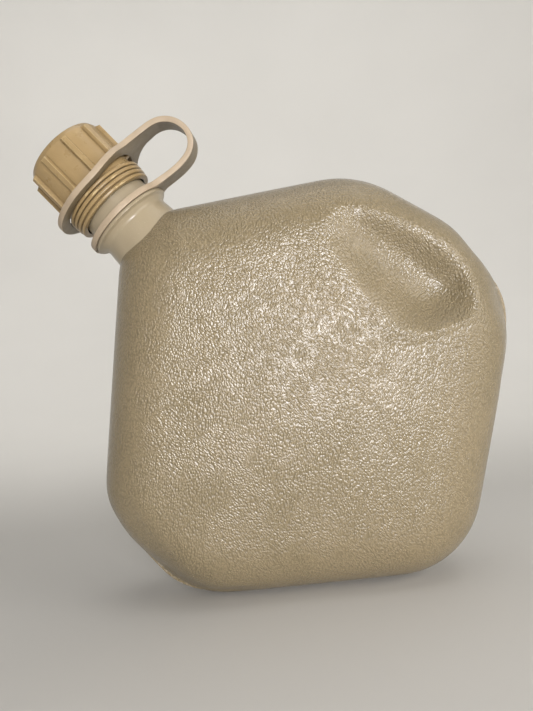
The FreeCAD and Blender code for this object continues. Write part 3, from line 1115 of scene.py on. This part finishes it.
def make_strap(material):
    """The strap in two pieces that meet at the loop's outermost line."""
    path, place, length, middle, thick = strap_path()
    mesh = thick_rounded(strap_sheet(length), thick)
    flat = np.array([v.co for v in mesh.vertices], float)
    past_neck_ring = smoothstep(22.0, 34.0, flat[:, 0])
    past_cap_ring = smoothstep(length - 34.0, length - 24.0, flat[:, 0])
    flat[:, 2] *= 1.0 + RING_SWELL * (1.0 - past_neck_ring * (1.0 - past_cap_ring))
    points = on_neck(bend_strap(flat, path, place), loop_heading())
    faces = [tuple(p.vertices) for p in mesh.polygons]
    # Faces that get the strap's painted shade: the inner broad face, and the outer one between the pale
    # lips.
    broad = []
    for p in mesh.polygons:
        between_lips = abs(p.center.y) < BAND_HALF - BAND_LIP
        broad.append(float(p.normal.z > 0.8 or (p.normal.z < -0.8 and between_lips)))
    centre_u = [flat[list(face), 0].mean() for face in faces]
    legs = ((LEG_START, middle), (middle, length - CAP_LEG_START))
    for (name, bodies, nodes), (leg_start, leg_end) in zip(STRAP_PIECES, legs):
        upper = leg_start == middle
        mine = [i for i, u in enumerate(centre_u) if (u >= middle) == upper]
        used, kept = drop_unused([faces[i] for i in mine])
        obj = make_piece(name, points[used], kept, material)
        shade = obj.data.attributes.new(SHADED_FACE, "FLOAT", "FACE")
        shade.data.foreach_set("value", [broad[i] for i in mine])
        close_cut(obj)
        # The piece's points are first laid out along the X axis by their share of the leg, then set to
        # their bent places.
        laid_out = np.zeros((len(used), 3))
        laid_out[:, 0] = (flat[used, 0] - leg_start) / (leg_end - leg_start) / MM
        set_points(obj, laid_out)
        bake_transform(obj)
        set_points(obj, points[used])
        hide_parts(*nodes)


def close_cut(obj):
    """Fill the open end left by splitting the strap."""
    shape = bmesh.new()
    shape.from_mesh(obj.data)
    rim = [edge for edge in shape.edges if edge.is_boundary]
    bmesh.ops.holes_fill(shape, edges=rim, sides=0)
    shape.to_mesh(obj.data)
    shape.free()
    face_outward(obj)
    mark_sharp(obj, 60.0)


# ---- stage, light and camera

FLOOR_R = 800.0            # the floor is flat this far out
BOWL_R = 1000.0            # and then curves up with this radius
BOWL_STEPS = 12
WALL_TOP = 2600.0
STAGE_COLUMNS = 96


def make_stage(material):
    """A wide pale floor that curves up into a wall all round, far behind every view."""
    floor_z = CAD_BOX[0].z / MM - FLOOR_GAP
    profile = [(FLOOR_R / 2, 0.0), (FLOOR_R, 0.0)]
    for k in range(1, BOWL_STEPS + 1):
        turn = 0.5 * math.pi * k / BOWL_STEPS
        profile.append((FLOOR_R + BOWL_R * math.sin(turn), BOWL_R * (1 - math.cos(turn))))
    profile.append((FLOOR_R + BOWL_R, WALL_TOP))
    points = [(0.0, 0.0, floor_z)]
    for radius, up in profile:
        for angle in even_angles(STAGE_COLUMNS):
            points.append((radius * math.cos(angle), radius * math.sin(angle), floor_z + up))
    faces = [(0, 1 + j, 1 + (j + 1) % STAGE_COLUMNS) for j in range(STAGE_COLUMNS)]
    for a, b, c, d in lathe_faces(len(profile), STAGE_COLUMNS, closed_profile=False):
        faces.append((b + 1, a + 1, d + 1, c + 1))
    make_piece("floor", points, faces, material)


MIDDLE = (0.0, -0.03, 0.10)
BACKDROP = (0.0, 1.8, 0.9)
# (name, place, aim, side of the square, watts, colour)
LIGHTS = (
    ("key", (0.15, -0.98, 0.20), MIDDLE, 0.34, 9.2, (0.98, 0.97, 1.0)),
    ("soft_right", (0.75, -0.45, 0.35), MIDDLE, 0.5, 2.6, (1.0, 0.97, 0.93)),
    ("soft_top", (0.2, 0.0, 1.2), MIDDLE, 1.0, 3.7, (1.0, 0.98, 0.95)),
    ("backdrop", (0.0, 0.4, 1.2), BACKDROP, 1.4, 16.0, (1.0, 0.99, 0.98)),
)


def make_lights():
    """A soft key that makes the grain glint, weaker lights, and pale surroundings."""
    for name, place, aim, side, watts, colour in LIGHTS:
        light = bpy.data.lights.new(name, "AREA")
        light.shape = "SQUARE"
        light.size = side
        light.energy = watts
        light.color = colour
        obj = shown(name, light)
        obj.location = Vector(place)
        obj.rotation_mode = "QUATERNION"
        obj.rotation_quaternion = (Vector(aim) - Vector(place)).to_track_quat("-Z", "Y")
    world = bpy.data.worlds.new("studio")
    bpy.context.scene.world = world
    world.use_nodes = True
    background = world.node_tree.nodes["Background"]
    background.inputs["Color"].default_value = (0.82, 0.82, 0.84, 1.0)
    background.inputs["Strength"].default_value = 0.2


CAMERA_PLACE = (-0.0165, -0.3219, 0.1198)
CAMERA_AIM = (-0.0118, 0.0, 0.1142)
CAMERA_ROLL = 5.6          # degrees: in the camera's view the base rises to the right
CAMERA_LENS = 32.4


def make_camera():
    """Almost square on to the front wall, close to it, and rolled a little."""
    data = bpy.data.cameras.new("camera")
    data.lens = CAMERA_LENS
    data.clip_start = 0.01
    obj = shown("camera", data)
    roll = math.radians(CAMERA_ROLL)
    back = (Vector(CAMERA_PLACE) - Vector(CAMERA_AIM)).normalized()
    right = Vector((math.sin(roll), 0.0, math.cos(roll))).cross(back).normalized()
    up = back.cross(right)
    turn = Matrix((right, up, back)).transposed().to_4x4()
    obj.matrix_world = Matrix.Translation(CAMERA_PLACE) @ turn
    bpy.context.scene.camera = obj


# ---- build

body_plastic = body_material()
neck_plastic = neck_material()
cap_plastic = cap_material()
strap_plastic = strap_material()
rubber = gasket_material()

make_body_half("body_front_half", True, body_plastic)
make_body_half("body_back_half", False, body_plastic)
make_parting_ridge(body_plastic)
make_neck(neck_plastic)
make_cap(cap_plastic)
make_gasket(rubber)
make_strap(strap_plastic)
make_stage(floor_material())
make_lights()
make_camera()
bpy.context.scene.view_settings.view_transform = "Standard"
